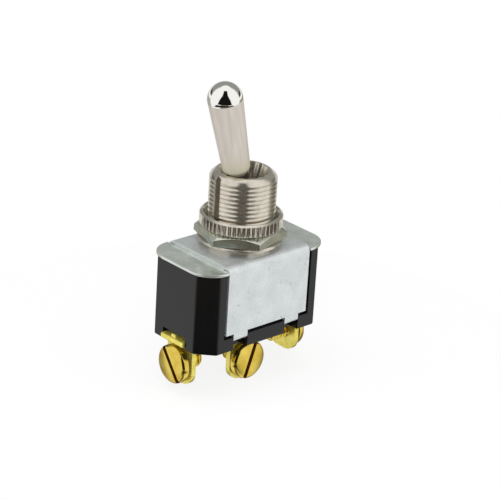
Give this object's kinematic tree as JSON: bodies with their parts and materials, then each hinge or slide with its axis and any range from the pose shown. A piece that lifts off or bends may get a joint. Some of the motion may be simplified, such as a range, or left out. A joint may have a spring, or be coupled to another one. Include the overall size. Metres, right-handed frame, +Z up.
{
  "type": "panel toggle switch",
  "caption": "Panel toggle switch: a bat lever in a threaded bushing with hex and knurled nuts, over a folded metal frame, a moulded case and brass screw terminals.",
  "frame": {"origin": "on the bushing's axis, at the top face of the folded frame", "axes": "+Z up the bushing towards the lever, -X along the case towards the end that the lever leans to, -Y towards the side where the middle terminal's screw faces out"},
  "size_m": [0.0296, 0.0166, 0.0558],
  "materials": {
    "nickel": "nickel plate over brass, satin on the lever's shank",
    "zinc": "zinc plated sheet and bar steel",
    "steel": "bright drawn steel",
    "moulded_black": "moulded phenolic, semi-matt",
    "moulded_pale": "moulded",
    "fibre": "pressed fibre sheet",
    "brass": "plain brass, lightly polished",
    "silver": "silver alloy contact face"
  },
  "bodies": {
    "base": {"bushing": "nickel", "frame": "zinc", "ear_plate": "zinc", "case": "moulded_black", "insulator": "fibre", "terminal_left": "brass", "terminal_right": "brass", "terminal_middle": "brass", "fixed_contact_left": "silver", "fixed_contact_right": "silver", "rocker_saddle": "brass", "centre_rivet": "brass"},
    "lever": {"lever": "nickel", "lever_pin": "steel", "plunger_spring": "steel"},
    "plunger": {"plunger": "moulded_pale"},
    "rocker": {"rocker": "brass", "moving_contact_left": "silver", "moving_contact_right": "silver"},
    "hex_nut": {"hex_nut": "zinc"},
    "knurled_nut": {"knurled_nut": "nickel"},
    "screw_left": {"screw_left": "brass"},
    "screw_right": {"screw_right": "brass"},
    "screw_middle": {"screw_middle": "brass"}
  },
  "joints": [
    {"name": "lever_throw", "type": "hinge", "parent": "base", "child": "lever", "pos_m": [0, 0, 0.0074], "axis": [0, 1, 0], "range_deg": [0, 29.4]},
    {"name": "plunger_slide", "type": "slide", "parent": "lever", "child": "plunger", "axis": [-0.2538, 0, 0.9673], "range_m": [0, 0.0009], "stiffness_N_per_m": 800, "springref_m": -0.003, "deforming": ["plunger_spring"]},
    {"name": "rocker_tip", "type": "hinge", "parent": "base", "child": "rocker", "pos_m": [0, 0, -0.0084], "axis": [0, 1, 0], "range_deg": [-15, 0]},
    {"name": "hex_nut_travel", "type": "slide", "parent": "base", "child": "hex_nut", "axis": [0, 0, 1], "range_m": [0, 0.0036]},
    {"name": "knurled_nut_travel", "type": "slide", "parent": "hex_nut", "child": "knurled_nut", "axis": [0, 0, 1], "range_m": [0, 0.0036]},
    {"name": "screw_left_travel", "type": "slide", "parent": "base", "child": "screw_left", "axis": [-1, 0, 0], "range_m": [-0.0006, 0.0025]},
    {"name": "screw_right_travel", "type": "slide", "parent": "base", "child": "screw_right", "axis": [1, 0, 0], "range_m": [0, 0.0025]},
    {"name": "screw_middle_travel", "type": "slide", "parent": "base", "child": "screw_middle", "axis": [0, -1, 0], "range_m": [-0.00025, 0.0025]}
  ],
  "couplings": [
    {"joint": "rocker_tip", "follows": "lever_throw", "ratio": -0.5102}
  ]
}
